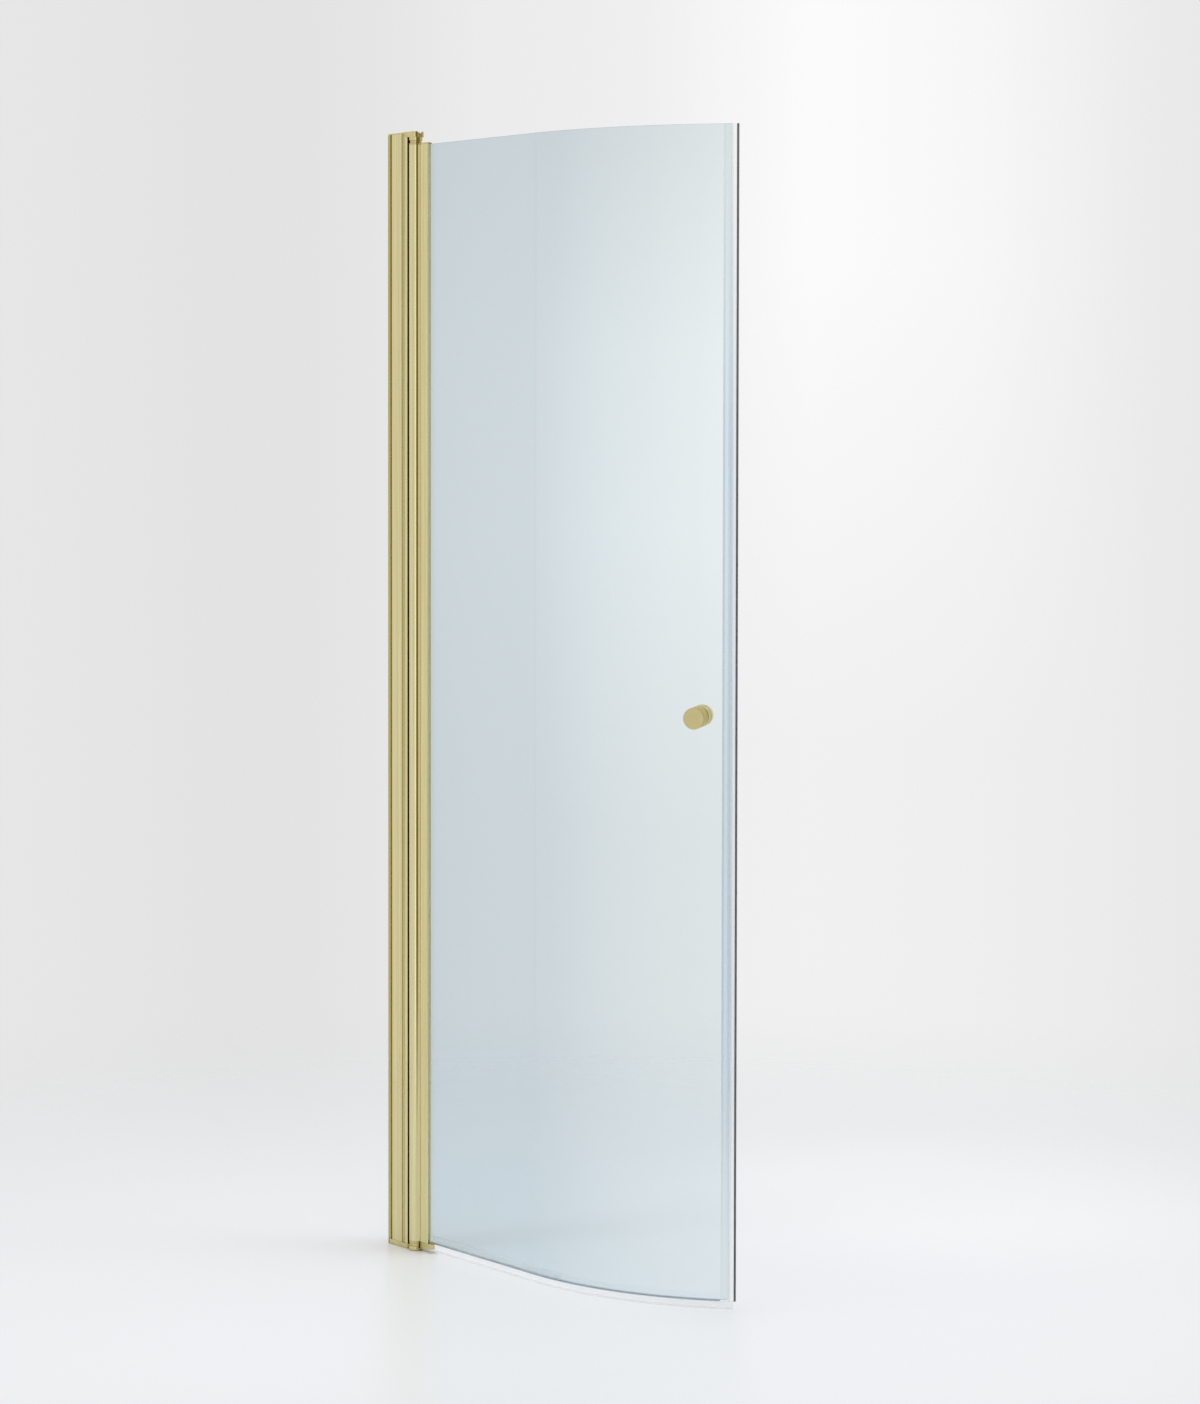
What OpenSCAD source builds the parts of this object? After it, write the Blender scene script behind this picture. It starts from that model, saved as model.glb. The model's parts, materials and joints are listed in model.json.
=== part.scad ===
// Curved hinged door of a round-front corner shower, with its wall profile and rising hinge.
// Origin on the wall, at floor level, in the middle of the glass. +X runs out from the wall,
// +Z is up, and the outside of the shower is towards -Y.

/* [Door] */
// Overall height, from the floor to the top of the upper bracket
door_h = 1950; // [1850:1:2050]
// Thickness of the glass
glass_t = 6; // [5:0.5:6]
// Distance from the wall to where the glass starts to bend
straight_x = 392.5; // [300:0.5:480]
// Bend radius at the middle of the glass
bend_r = 500; // [420:1:600]
// Angle that the glass turns through, to its free edge
bend_turn = 42.5; // [39:0.5:50]
// Height of the lower edge of the glass above the floor
glass_foot = 19.5; // [19:0.5:22]

/* [Wall profile] */
// Width of the wall profile, across the glass
profile_w = 32; // [30:0.5:36]
// Distance from the wall to the end of the adjusting profile
profile_end = 55; // [54.6:0.1:55.3]
// Wall thickness of the adjusting profile
profile_wall = 1.8; // [1.4:0.1:2]
// Depth of the shoulder that shows beside the wall
shoulder = 6.5; // [5:0.5:9]
// Groove between the shoulder and the adjusting profile
shadow_gap = 3.5; // [1:0.1:4]
// How far the channel's legs reach into the adjusting profile
channel_depth = 34; // [28:0.5:35]
// Thickness of the channel's legs
channel_wall = 1.6; // [1.4:0.1:2]
// Thickness of the channel's base, against the wall
channel_base = 2.2; // [1.8:0.1:3]
// Radius of the screw holes in the channel's base
wall_hole_r = 2.75; // [2:0.05:3.5]
// Number of screw holes
wall_holes = 4; // [2:1:5]
// Distance from one screw hole to the next
wall_hole_pitch = 600; // [300:10:600]
// Width of the cover strip on the outer face
strip_w = 9.6; // [8:0.1:10.4]

/* [Hinge] */
// Distance from the wall to the pivot
pivot_x = 68.8; // [68.6:0.1:69.2]
// Distance from the middle of the glass out to the pivot
pivot_out = 7; // [6.6:0.1:7.4]
// Radius of the hinge barrel, and half the width of the upper hub
barrel_r = 11.8; // [11.6:0.1:12]
// Radius of the bore along the barrel
barrel_bore = 9.2; // [9:0.1:9.6]
// Gap between the barrel and the hollow in the wall profile
cove_gap = 4.2; // [4:0.1:4.4]
// Radius of both pivot pins
pin_r = 4; // [3:0.1:4.2]
// Height that the door rises in a quarter turn
lift = 5; // [3:0.1:5.5]
// Radius of the lift bar
bar_r = 2; // [1.5:0.1:2.2]
// Radius of the lower hub
lower_hub_r = 12.4; // [12:0.1:12.5]
// Thickness of the bottom bracket
foot_t = 8.8; // [8:0.1:9]
// Radius of the vertical corners at the end of the upper hub
hub_corner = 7; // [6:0.1:8]

/* [Hinge stile] */
// Distance from the wall to the stile's free end
stile_end = 105; // [102:0.5:112]
// Thickness of the stile where it holds the glass
stile_t = 18; // [17:0.1:18.4]
// Thickness of the stile's skin
stile_skin = 1.8; // [1.4:0.1:2]
// Depth of the pocket for the glass
pocket_depth = 18.7; // [18:0.1:19.5]
// How much shorter the stile's lip is on the inner side
lip_setback = 10; // [8:0.1:10.5]
// Thickness of the glazing gaskets
glazing_t = 1.8; // [1.6:0.1:2.2]
// How far the foot reaches past the stile's end
foot_reach = 13; // [8:0.5:16]

/* [Knob] */
// Angle around the bend at which the knob sits
knob_turn = 36.5; // [30:0.5:36.5]
// Height of the knob's axis above the floor
knob_z = 969.5; // [850:0.5:1100]
// Radius of the knob's head and base
knob_r = 17.5; // [14:0.1:19]
// Radius of the knob's neck
knob_neck_r = 11; // [8:0.1:12]
// Length of each knob
knob_len = 33.5; // [30:0.5:40]
// Radius of the stud between the knobs
stud_r = 3; // [2.5:0.1:3.5]
// Radius of the hole through the glass
knob_hole_r = 6; // [5.5:0.1:7]

/* [Seals] */
// Wall thickness of the clear seals
seal_wall = 1.2; // [1:0.1:1.5]
// Width of the clip that grips the glass at the free edge
clip_w = 13; // [10:0.5:16]
// Depth of the hollow chamber past the glass
chamber_w = 7; // [5:0.5:10]
// Thickness of the magnet strip
magnet_t = 3; // [2.5:0.1:4]
// Height of the bottom seal's legs on the glass
bottom_clip_h = 10.5; // [8:0.5:14]
// Gap between the floor and the lip of the bottom seal
lip_gap = 4.5; // [3:0.5:6]

/* [Fits] */
// Clearance between pieces that are pressed or screwed together
seat = 0.05; // [0.03:0.01:0.08]
// Gap between pieces that lie on each other
rest_gap = 0.3; // [0.2:0.05:0.35]

/* [Hidden] */
$fn = 64;

gold = "#cdc496";
gold_dark = "#b8a86a";
steel = "#b9bcc0";
nylon = "#e9e6dc";
black = "#24221f";
clear = "#c3d3dccc";
smoke = "#6f757b";

eps = 0.01;
half_w = profile_w / 2;
profile_start = shoulder + shadow_gap;
profile_edge_r = 2.5;
leg_face = half_w - profile_wall - seat;
leg_inner = leg_face - channel_wall;
web_x = channel_depth + 2;
cove_r = barrel_r + cove_gap;
port_x = web_x + 6.2;
port_y = half_w - 7;
port_r = 3.6;
port_bore = 2.1;
screw_r = port_bore - seat;
head_r = 3.7;
screw_room = 30;

bracket_plug = 28;

strip_recess = 2.4;
strip_t = 1.6;
strip_margin = 5.6;
strip_x = profile_end - strip_margin - strip_w;
gasket_angles = [202, 160];

// Levels of the upper hinge, worked out downwards from the top.
cap_t = 2.2;
cap_z = door_h - cap_t;
land_angle = 82.5;
rise_per_deg = lift / 90;
pin_head = 3;
inner_slope = atan(rise_per_deg * 180 / PI / (pin_r + 2.2));
bar_z = door_h - pin_head - 0.4;
valley_z = bar_z - bar_r / cos(inner_slope) - rest_gap;
hub_roof = 3.4;
roof_z = valley_z - hub_roof;
flange_t = 1.4;
notch_z = bar_z - 1.8 * bar_r;
notch_half = 0.75 * (door_h + 1 - notch_z);
hub_end = pivot_x + barrel_r;
ear_h = 6;
ear_reach = 5.5;
cam_r = barrel_r - 1.5;
land_z = valley_z + rise_per_deg * land_angle;
skirt_h = lift + 2 * rest_gap;
skirt_z = roof_z - skirt_h;
lift_room = lift + rest_gap;
collar_top = roof_z - lift_room;
collar_z = skirt_z - lift_room;
collar_r = barrel_r - 1.6;
skirt_r = collar_r + rest_gap;
skirt_wall = 1.1;
end_cap_t = 2.5;
stile_top = collar_z - end_cap_t;
bush_r = pin_r + 2;
bush_flange_r = bush_r + 1.5;
pin_bore = pin_r + seat;
upper_plug_len = 46;

// Levels of the lower hinge, worked out upwards from the floor.
hub_h = foot_t - 0.3;
pin_collar_z = hub_h + rest_gap;
pin_collar_t = 3.2;
pin_collar_r = barrel_r - 0.4;
plug_z = pin_collar_z + pin_collar_t + rest_gap;
stile_z = plug_z + 4.7;
key_r = pin_r + 1;
key_flat = key_r - 1;
key_top = stile_z + 23;
lower_plug_len = 45;
spring_z = key_top + rest_gap;
spring_top = stile_z + lower_plug_len - 2 - rest_gap;

// Glass and what holds it.
stile_half = stile_t / 2;
glass_half = glass_t / 2;
glass_top = stile_top - 0.2;
pocket_x = stile_end - pocket_depth;
pocket_half = glass_half + glazing_t;
glass_start = pocket_x + 2.4;
lip_w = 2.6;
inner_lip_end = stile_end - lip_setback;
stile_start = pivot_x + 4;
stile_fillet_r = 2.5;
stile_port_x = pocket_x - 4.3;
stile_port_y = 4;
stile_port_r = 3.4;
grub_r = 2.5;
upper_grub_z = stile_top - 22;
lower_grub_z = stile_z + 13;
foot_bottom = 5;
foot_tip_rise = 4;
foot_top = stile_z - rest_gap;
washer_t = 1.2;
knob_base = glass_half + rest_gap + washer_t + seat;
seal_in = glass_half + 0.15;
seal_out = seal_in + seal_wall;
seal_base_t = 1.8;
seal_base_z = glass_foot - rest_gap - seal_base_t;
clip_turn = clip_w / bend_r * 180 / PI;
chamber_wall = 1;
jaw_t = 0.9;

// Places children with their axis on the hinge's pivot.
module at_pivot(z = 0) {
    translate([pivot_x, -pivot_out, z]) children();
}

// Places children on the bent glass: +X along the glass, -Y out of the shower.
module at_turn(turn) {
    translate([straight_x, bend_r, 0]) rotate([0, 0, turn]) translate([0, -bend_r, 0]) children();
}

// Plan of a layer that follows the glass from x0 round to an angle.
module band(out_from, out_to, x0, turn) {
    if (x0 < straight_x)
        translate([x0, -out_to]) square([straight_x - x0, out_to - out_from]);
    translate([straight_x, bend_r]) intersection() {
        difference() {
            circle(r = bend_r + out_to, $fn = 360);
            circle(r = bend_r + out_from, $fn = 360);
        }
        polygon([[0, 0], [0, -2 * bend_r], [2 * bend_r * tan(turn), -2 * bend_r]]);
    }
}

// Plan of a layer that follows only the last stretch of the bend.
module bend_band(out_from, out_to, from_turn, to_turn) {
    translate([straight_x, bend_r]) intersection() {
        difference() {
            circle(r = bend_r + out_to, $fn = 360);
            circle(r = bend_r + out_from, $fn = 360);
        }
        polygon([[0, 0], [2 * bend_r * tan(from_turn), -2 * bend_r],
            [2 * bend_r * tan(to_turn), -2 * bend_r]]);
    }
}

module slab(z0, z1) {
    translate([0, 0, z0]) linear_extrude(z1 - z0) children();
}

module round_rect(x0, y0, x1, y1, r) {
    translate([x0 + r, y0]) square([x1 - x0 - 2 * r, y1 - y0]);
    translate([x0, y0 + r]) square([x1 - x0, y1 - y0 - 2 * r]);
    for (x = [x0 + r, x1 - r], y = [y0 + r, y1 - r])
        translate([x, y]) circle(r = r, $fn = 24);
}

// Countersunk screw, standing head up with the top of its head at z = 0.
module countersunk_screw(len) {
    difference() {
        rotate_extrude() polygon([[0, 0], [head_r - 0.1, 0], [head_r - 0.1, -0.4],
            [screw_r, -0.4 - (head_r - 0.1 - screw_r)], [screw_r, -len + 1], [screw_r - 1, -len],
            [0, -len]]);
        translate([0, 0, -1.2]) cylinder(r = 1.3, h = 2, $fn = 6);
    }
}

module countersink() {
    rotate_extrude() polygon([[0, eps], [head_r, eps], [head_r, -0.4],
        [screw_r + seat, -0.4 - (head_r - screw_r - seat)], [screw_r + seat, -screw_room],
        [0, -screw_room]]);
}

// Wall channel

module wall_channel() {
    // The legs and shoulders stop above the bottom bracket; the base runs down to the floor.
    color(gold) difference() {
        union() {
            slab(0, cap_z - rest_gap) translate([0, -half_w]) square([channel_base, profile_w]);
            slab(foot_t + rest_gap, cap_z - rest_gap) difference() {
                union() {
                    round_rect(0, -half_w, shoulder, half_w, 0.8);
                    translate([0, -leg_face]) square([channel_depth, 2 * leg_face]);
                }
                translate([channel_base, -leg_inner]) square([channel_depth, 2 * leg_inner]);
            }
        }
        for (i = [0 : wall_holes - 1])
            translate([-1, 0, wall_hole_z(i)]) rotate([0, 90, 0])
                cylinder(r = wall_hole_r, h = channel_base + 2);
        for (z = clamp_z) translate([clamp_x, leg_inner - 1, z]) rotate([-90, 0, 0])
            cylinder(r = clamp_r + seat, h = channel_wall + 2);
    }
}

function wall_hole_z(i) = door_h / 2 + (i - (wall_holes - 1) / 2) * wall_hole_pitch;
clamp_x = 22;
clamp_r = 2;
clamp_z = [door_h * 0.06, door_h / 2, door_h * 0.94];

// Adjusting profile

module profile_outline() {
    difference() {
        round_rect(profile_start, -half_w, profile_end, half_w, profile_edge_r);
        translate([pivot_x, -pivot_out]) circle(r = cove_r);
    }
}

// The boss behind each hinge gasket, in the chamber beside the barrel.
module gasket_boss() {
    for (a = gasket_angles) translate([pivot_x, -pivot_out]) rotate(a)
        translate([cove_r + 2, 0]) circle(r = 3.4);
}

module gasket_slot() {
    for (a = gasket_angles) translate([pivot_x, -pivot_out]) rotate(a) {
        translate([cove_r - 1, -0.75]) square([2, 1.5]);
        translate([cove_r + 0.7, -1.25]) square([1.7, 2.5]);
    }
}

module profile_plan() {
    front_x = profile_end - profile_wall;
    difference() {
        profile_outline();
        // Open back, where the channel's legs slide in.
        translate([0, -half_w + profile_wall]) square([web_x, profile_w - 2 * profile_wall]);
        // Front chamber, less the bosses and ribs that stay in it.
        difference() {
            translate([web_x + profile_wall, -half_w + profile_wall])
                square([front_x - web_x - profile_wall, profile_w - 2 * profile_wall]);
            translate([pivot_x, -pivot_out]) circle(r = cove_r + profile_wall);
            gasket_boss();
            for (side = [-1, 1]) translate([port_x, side * port_y]) {
                circle(r = port_r);
                translate([-0.8, side < 0 ? -port_r - 3 : 0]) square([1.6, port_r + 3]);
            }
            translate([strip_x - 1.6, -half_w]) square([strip_w + 4, strip_recess + 3.4]);
        }
        for (side = [-1, 1]) translate([port_x, side * port_y]) circle(r = port_bore);
        gasket_slot();
        strip_recess_plan();
    }
}

// Recess and undercuts that the cover strip snaps into.
module strip_recess_plan() {
    translate([strip_x, -half_w - 1]) square([strip_w, strip_recess + 1]);
    for (x = [strip_x + 1, strip_x + strip_w - 2.6])
        translate([x, -half_w + strip_recess - eps]) square([1.6, 1.6]);
}

module adjusting_profile() {
    color(gold) difference() {
        slab(foot_t + rest_gap, cap_z - seat) profile_plan();
        // Milled notch for the tongue of the upper bracket.
        translate([tongue_x - rest_gap, -pivot_out - tongue_w / 2 - rest_gap, roof_z - rest_gap])
            cube([profile_end, tongue_w + 2 * rest_gap, door_h - roof_z]);
        for (z = clamp_z) translate([clamp_x, half_w - profile_wall - 1, z]) rotate([-90, 0, 0])
            cylinder(r = clamp_r + 4 * seat, h = profile_wall + 2);
    }
}

tongue_w = 10;
tongue_x = port_x + port_r + 0.5;

module cover_strip() {
    color(gold_dark) slab(foot_t + 2 * rest_gap, cap_z - rest_gap)
        translate([strip_x, -half_w + strip_recess - seat]) {
            translate([0.1, -strip_t]) square([strip_w - 0.2, strip_t]);
            for (x = [1.15, strip_w - 2.45]) translate([x, -eps]) square([1.3, 1.3]);
            translate([strip_w / 2, -strip_t]) circle(r = 0.45, $fn = 16);
        }
}

module clamp_screws() {
    color(steel) for (z = clamp_z) translate([clamp_x, half_w, z]) rotate([-90, 0, 0]) {
        difference() {
            rotate_extrude() {
                translate([0, seat]) square([2.6, 2.1]);
                translate([2.5, seat]) intersection() {
                    circle(r = 2.1, $fn = 32);
                    square([2.1, 2.1]);
                }
            }
            translate([0, 0, 1]) cylinder(r = 1.3, h = 2, $fn = 6);
        }
        translate([0, 0, -6]) cylinder(r = clamp_r, h = 6 + 2 * seat);
    }
}

module hinge_gaskets() {
    color(black) slab(foot_t + 2 * rest_gap, roof_z - 2 * rest_gap)
        for (a = gasket_angles) translate([pivot_x, -pivot_out]) rotate(a) {
            translate([barrel_r + rest_gap, -0.6]) square([cove_gap + 1, 1.2]);
            translate([cove_r + 0.85, -1.1]) square([1.4, 2.2]);
        }
}

// Plan of both brackets' plates: the profile's outline, carried on towards the wall.
module plate_plan(x0) {
    round_rect(x0, -half_w, web_x, half_w, 1.2);
    round_rect(profile_start, -half_w, profile_end, half_w, profile_edge_r);
}

// Upper bracket

// The rising face of the cam: two valleys in line with the closed door, two flat lands across it.
function cam_height(a) =
    let (m = a - 180 * floor(a / 180), d = min(m, 180 - m)) rise_per_deg * min(d, land_angle);

// Everything above the cam's face, as a ring to cut away.
module cam_cut(r_in, r_out, z0, z1) {
    n = 48;
    rings = [for (i = [0 : n - 1]) let (a = i * 360 / n) each [
        [r_in * cos(a), r_in * sin(a), z0 + cam_height(a)],
        [r_out * cos(a), r_out * sin(a), z0 + cam_height(a)],
        [r_out * cos(a), r_out * sin(a), z1],
        [r_in * cos(a), r_in * sin(a), z1]]];
    polyhedron(rings, [for (i = [0 : n - 1], k = [0 : 3])
        let (j = (i + 1) % n, l = (k + 1) % 4)
        each [[4 * i + k, 4 * i + l, 4 * j + l], [4 * i + k, 4 * j + l, 4 * j + k]]], 6);
}

// Block round the pivot, with rounded corners at its free end.
module hub_plan() {
    reach = hub_end - profile_end - rest_gap;
    translate([profile_end + rest_gap, -pivot_out]) {
        translate([0, -barrel_r]) square([reach - hub_corner, 2 * barrel_r]);
        translate([0, hub_corner - barrel_r]) square([reach, 2 * (barrel_r - hub_corner)]);
        for (side = [-1, 1]) translate([reach - hub_corner, side * (barrel_r - hub_corner)])
            circle(r = hub_corner);
    }
}

// V in the hub's end wall, through which the lift bar is driven in. The cam's valley stays whole.
module bar_notch() {
    translate([pivot_x, -pivot_out, 0]) rotate([90, 0, 90]) difference() {
        linear_extrude(hub_end) polygon([[0, notch_z], [notch_half, door_h + 1],
            [-notch_half, door_h + 1]]);
        translate([-notch_half, 0, -1]) cube([2 * notch_half, valley_z, cam_r + 1]);
    }
}

module top_bracket() {
    color(gold) difference() {
        union() {
            // Cover plate, rounded off towards the wall.
            intersection() {
                slab(cap_z, door_h) plate_plan(seat);
                rotate([90, 0, 0]) translate([0, 0, -profile_w]) linear_extrude(2 * profile_w)
                    union() {
                        translate([2, door_h - 10]) square([profile_end, 10]);
                        translate([seat, door_h - 10]) square([4, 8]);
                        translate([2 + seat, door_h - 2]) circle(r = 2, $fn = 32);
                    }
            }
            // Plug that fills the profile's front chamber.
            slab(cap_z - bracket_plug, cap_z + eps) plug_plan();
            // Tongue through the milled notch, and the hub that it carries.
            slab(roof_z, cap_z + eps) translate([tongue_x, -pivot_out - tongue_w / 2])
                square([pivot_x - tongue_x, tongue_w]);
            slab(roof_z, door_h) hub_plan();
            slab(cap_z, door_h) translate([profile_end - profile_edge_r, -pivot_out - barrel_r])
                square([2 * profile_edge_r, 2 * barrel_r]);
            // Ear that reaches back beside the profile's outer face.
            slab(door_h - ear_h, door_h) round_rect(profile_end - ear_reach, -pivot_out - barrel_r,
                profile_end + 4, -half_w - rest_gap, 1.2);
            at_pivot(skirt_z) cylinder(r = skirt_r + skirt_wall, h = skirt_h + eps);
        }
        // Room for the stile's collar under the hub, and the bush's bore.
        at_pivot(skirt_z - 1) cylinder(r = skirt_r, h = skirt_h + 1);
        at_pivot(skirt_z) cylinder(r = bush_r, h = door_h - skirt_z);
        at_pivot() cam_cut(bush_r - 0.5, cam_r, valley_z, door_h + 1);
        bar_notch();
        // The rim is low on the inner side, level with the cam's lands.
        translate([pivot_x - cam_r, cam_r / 2 - pivot_out, land_z])
            cube([2 * cam_r, barrel_r, door_h - cap_z]);
        for (side = [-1, 1]) translate([port_x, side * port_y, door_h]) countersink();
    }
}

// Section of the plugs that locate both brackets in the profile's front chamber.
module plug_plan() {
    difference() {
        translate([web_x + profile_wall + 0.2, -port_y + port_r + 0.6])
            square([12, 2 * (port_y - port_r - 0.6)]);
        translate([pivot_x, -pivot_out]) circle(r = cove_r + profile_wall + 0.3);
        gasket_boss_room();
    }
}

module gasket_boss_room() {
    for (a = gasket_angles) translate([pivot_x, -pivot_out]) rotate(a)
        translate([cove_r + 2, 0]) circle(r = 3.4 + 0.3);
}

// Flanged sleeve, standing on its flange.
module flanged_bush(len) {
    difference() {
        union() {
            cylinder(r = bush_flange_r, h = flange_t);
            cylinder(r = bush_r - seat, h = len);
        }
        translate([0, 0, -1]) cylinder(r = pin_bore, h = len + 2);
    }
}

module top_bush() {
    color(nylon) at_pivot(roof_z - flange_t - seat) flanged_bush(hub_roof + flange_t - 0.3);
}

module top_bracket_screws() {
    color(steel) for (side = [-1, 1]) translate([port_x, side * port_y, door_h - seat])
        countersunk_screw(18);
}

// Bottom bracket

module bottom_bracket() {
    rib = 2.4;
    pocket_d = 5;
    neck_w = 16;
    color(gold) difference() {
        union() {
            slab(0, foot_t) plate_plan(channel_base + rest_gap);
            slab(foot_t - eps, foot_t + bracket_plug) plug_plan();
            // Neck between the plate and the hub.
            slab(0, hub_h) translate([profile_end - 4, profile_edge_r - half_w])
                square([pivot_x - profile_end + 4, neck_w]);
            at_pivot() lower_hub();
        }
        // Cored underside, with ribs between the pockets.
        for (x = [channel_base + 3, 20], side = [0, 1])
            translate([x, side * (rib / 2) - (1 - side) * (half_w - 2), -1])
                cube([20 - channel_base - 3 - rib, half_w - 2 - rib / 2, pocket_d + 1]);
        // Top of the plate, sunk to the hub's level below the barrel.
        at_pivot(hub_h) cylinder(r = cove_r, h = foot_t);
        // Seat of the bush and its flange.
        at_pivot(1.5) cylinder(r = bush_r, h = hub_h);
        at_pivot(hub_h - flange_t) cylinder(r = bush_flange_r + 0.2, h = flange_t + 1);
        for (side = [-1, 1]) translate([port_x, side * port_y, 0]) mirror([0, 0, 1]) countersink();
    }
}

// Turned hub with a step below its top face.
module lower_hub() {
    step = 1;
    step_z = hub_h - 2.9;
    rotate_extrude() polygon([[0, 0], [lower_hub_r - 0.5, 0], [lower_hub_r, 0.5],
        [lower_hub_r, step_z - step], [lower_hub_r - step, step_z],
        [lower_hub_r - step, hub_h - 0.5], [lower_hub_r - step - 0.5, hub_h], [0, hub_h]]);
}

module bottom_bush() {
    color(nylon) at_pivot(hub_h) mirror([0, 0, 1]) flanged_bush(hub_h - 1.5 - seat);
}

module bottom_bracket_screws() {
    color(steel) for (side = [-1, 1]) translate([port_x, side * port_y, seat]) mirror([0, 0, 1])
        countersunk_screw(24);
}

// Pin that turns with the door but stays down in the bottom bush.
module lower_pin() {
    color(gold) at_pivot() {
        translate([0, 0, 1.8]) cylinder(r1 = pin_r - 0.6, r2 = pin_r, h = 0.6);
        translate([0, 0, 2.4 - eps]) cylinder(r = pin_r, h = pin_collar_z - 2.4 + 2 * eps);
        translate([0, 0, pin_collar_z]) cylinder(r = pin_collar_r, h = pin_collar_t);
        difference() {
            translate([0, 0, pin_collar_z]) cylinder(r = key_r, h = key_top - pin_collar_z);
            translate([key_flat, -key_r, pin_collar_z + pin_collar_t])
                cube([key_r, 2 * key_r, key_top]);
        }
    }
}

// Hinge stile

// Outline beside the barrel, with the inner lip set back from the outer one.
module stile_outline() {
    round_rect(stile_start, -stile_half, inner_lip_end, stile_half, 1);
    round_rect(stile_start, -stile_half, stile_end, 0, 1);
    stile_fillet();
}

module stile_plan() {
    inner_y = stile_half - stile_skin;
    difference() {
        union() {
            translate([pivot_x, -pivot_out]) circle(r = barrel_r);
            stile_outline();
        }
        translate([pivot_x, -pivot_out]) circle(r = barrel_bore);
        // Chamber with the screw port.
        difference() {
            translate([stile_start + stile_skin, -inner_y])
                square([pocket_x - 2 * stile_skin - stile_start, 2 * inner_y]);
            translate([pivot_x, -pivot_out]) circle(r = barrel_r);
            translate([stile_port_x, stile_port_y]) circle(r = stile_port_r);
        }
        translate([stile_port_x, stile_port_y]) circle(r = port_bore);
        // Pocket for the glass, with lips and a rib that hold the gaskets.
        difference() {
            translate([pocket_x, -inner_y]) square([pocket_depth + 1, 2 * inner_y]);
            translate([stile_end - lip_w, -stile_half]) square([lip_w + 2, stile_half - pocket_half]);
            translate([pocket_x + 5, -stile_half]) square([1.6, stile_half - pocket_half]);
            translate([inner_lip_end - lip_w, pocket_half]) square([lip_w, stile_half - pocket_half]);
        }
    }
}

// Fillet between the barrel and the outer face of the stile.
module stile_fillet() {
    r = stile_fillet_r;
    up = pivot_out - stile_half - r;
    along = sqrt(pow(barrel_r + r, 2) - pow(up, 2));
    k = barrel_r / (barrel_r + r);
    translate([pivot_x, -pivot_out]) difference() {
        polygon([[k * along, k * up], [along, up + r], [along, up + r + 1],
            [k * along - 1, up + r + 1], [0.9 * k * along, 0.9 * k * up]]);
        translate([along, up]) circle(r = r, $fn = 48);
    }
}

module hinge_stile() {
    color(gold) difference() {
        slab(stile_z, stile_top) stile_plan();
        for (z = [upper_grub_z, lower_grub_z]) at_pivot(z) rotate([-90, 0, 0])
            cylinder(r = grub_r + seat, h = barrel_r + 8);
    }
}

module stile_top_cap() {
    color(gold) difference() {
        slab(stile_top + seat, stile_top + end_cap_t) difference() {
            stile_outline();
            translate([pivot_x, -pivot_out]) circle(r = barrel_r + 0.2);
        }
        translate([stile_port_x, stile_port_y, stile_top + end_cap_t]) countersink();
    }
}

// Tapered shoe with a round nose, under the stile and the corner of the glass.
module stile_foot() {
    nose_r = 8;
    nose_x = stile_end + foot_reach;
    hub_clear = 0.8;
    foot_flat = 30;
    color(gold) difference() {
        intersection() {
            slab(0, foot_top) difference() {
                union() {
                    translate([stile_start, -nose_r]) square([nose_x - nose_r - stile_start, 2 * nose_r]);
                    translate([nose_x - nose_r, 0]) circle(r = nose_r);
                }
                translate([pivot_x, -pivot_out]) circle(r = lower_hub_r + hub_clear);
            }
            rotate([90, 0, 0]) translate([0, 0, -stile_t]) linear_extrude(2 * stile_t)
                polygon([[pivot_x, foot_bottom], [pivot_x + foot_flat, foot_bottom],
                    [nose_x + 1, foot_bottom + foot_tip_rise], [nose_x + 1, foot_top + 1],
                    [pivot_x, foot_top + 1]]);
        }
        translate([stile_port_x, stile_port_y, foot_bottom]) mirror([0, 0, 1]) countersink();
    }
}

module cap_screws() {
    color(steel) {
        translate([stile_port_x, stile_port_y, stile_top + end_cap_t - seat]) countersunk_screw(16);
        translate([stile_port_x, stile_port_y, foot_bottom + seat]) mirror([0, 0, 1])
            countersunk_screw(26);
    }
}

module upper_plug() {
    plug_r = barrel_bore - seat;
    color(gold_dark) at_pivot() difference() {
        union() {
            translate([0, 0, stile_top - upper_plug_len]) cylinder(r = plug_r, h = upper_plug_len + 1);
            translate([0, 0, stile_top + seat]) cylinder(r = barrel_r, h = end_cap_t - seat);
            translate([0, 0, stile_top + seat]) cylinder(r = collar_r, h = collar_top - stile_top - seat);
        }
        // Pocket that goes up round the bush's flange.
        translate([0, 0, collar_top - flange_t - 2 * seat])
            cylinder(r = bush_flange_r + 0.4, h = flange_t + 1);
        translate([0, 0, stile_top - upper_plug_len + 12]) cylinder(r = pin_r + seat, h = upper_plug_len);
        translate([0, 0, upper_grub_z]) rotate([-90, 0, 0]) cylinder(r = grub_r + seat, h = barrel_r);
    }
}

module upper_pin() {
    z0 = stile_top - upper_plug_len + 12 + seat;
    z1 = bar_z + pin_head;
    color(steel) at_pivot() difference() {
        rotate_extrude() polygon([[0, z0], [pin_r - 0.5, z0], [pin_r, z0 + 0.5], [pin_r, z1 - 0.8],
            [pin_r - 0.8, z1], [0, z1]]);
        translate([-pin_r - 1, 0, bar_z]) rotate([0, 90, 0])
            cylinder(r = bar_r + seat, h = 2 * pin_r + 2);
        // Dimple for the point of the grub screw.
        translate([0, 0, upper_grub_z]) rotate([-90, 0, 0]) translate([0, 0, pin_r - 0.6])
            cylinder(r1 = 0.2, r2 = 1.4, h = 1.2);
    }
}

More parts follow.
